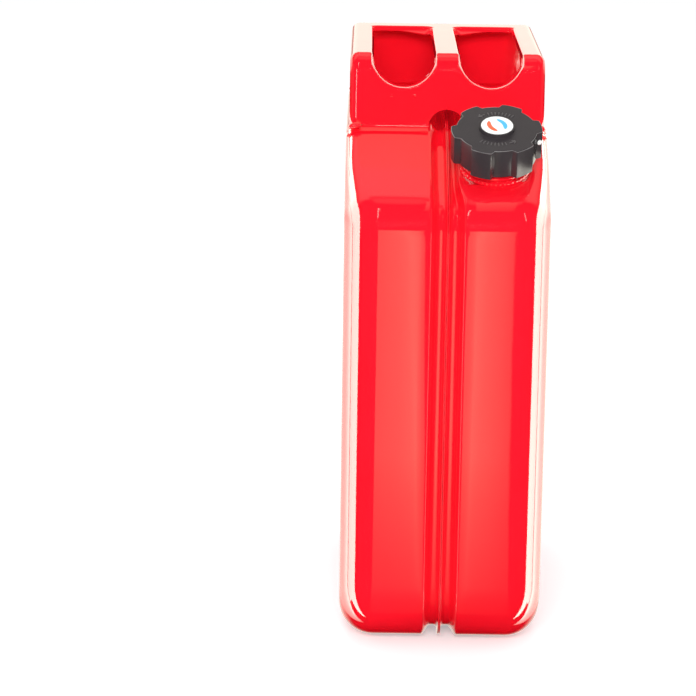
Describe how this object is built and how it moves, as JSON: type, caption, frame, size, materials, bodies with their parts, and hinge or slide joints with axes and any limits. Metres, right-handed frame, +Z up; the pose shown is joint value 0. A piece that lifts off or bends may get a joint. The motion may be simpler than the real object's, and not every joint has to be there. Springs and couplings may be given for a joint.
{
  "type": "jerry can",
  "caption": "Upright painted steel jerry can: two pressed half shells with a recessed seam, a stamped three-bar handle and a lobed screw cap on a tilted neck",
  "frame": {"origin": "on the ground, under the middle of the can", "axes": "+Z up; -Y towards the narrow face with the filler neck, +Y towards the rear; +X to the right of someone who looks at that face, the side that the neck is on"},
  "size_m": [0.165, 0.345, 0.475],
  "materials": {
    "body_paint": "gloss",
    "weld_paint": "gloss",
    "tube_steel": "satin",
    "cap_plastic": "satin",
    "white_plastic": "gloss",
    "liner_plastic": "satin",
    "gasket_rubber": "matte"
  },
  "bodies": {
    "root": {"left_shell": "body_paint", "right_shell": "body_paint", "handle": "body_paint", "handle_weld_front_left": "weld_paint", "handle_weld_front_right": "weld_paint", "handle_weld_rear_left": "weld_paint", "handle_weld_rear_right": "weld_paint", "neck": "body_paint", "neck_weld": "weld_paint", "vent_tube": "tube_steel"},
    "gasket": {"cap_gasket": "gasket_rubber"},
    "cap": {"cap_shell": "cap_plastic", "cap_liner": "liner_plastic", "cap_badge": "white_plastic", "cap_dot": "white_plastic"}
  },
  "joints": [
    {"name": "cap_lift", "type": "slide", "parent": "root", "child": "gasket", "axis": [0, -0.4067, 0.9135], "range_m": [0, 0.006]},
    {"name": "cap_turn", "type": "hinge", "parent": "gasket", "child": "cap", "pos_m": [0.038, -0.11586, 0.39362], "axis": [0, -0.4067, 0.9135], "range_deg": [0, 540]}
  ],
  "couplings": [
    {"joint": "cap_lift", "follows": "cap_turn", "m_per_rad": 0.0006366}
  ]
}
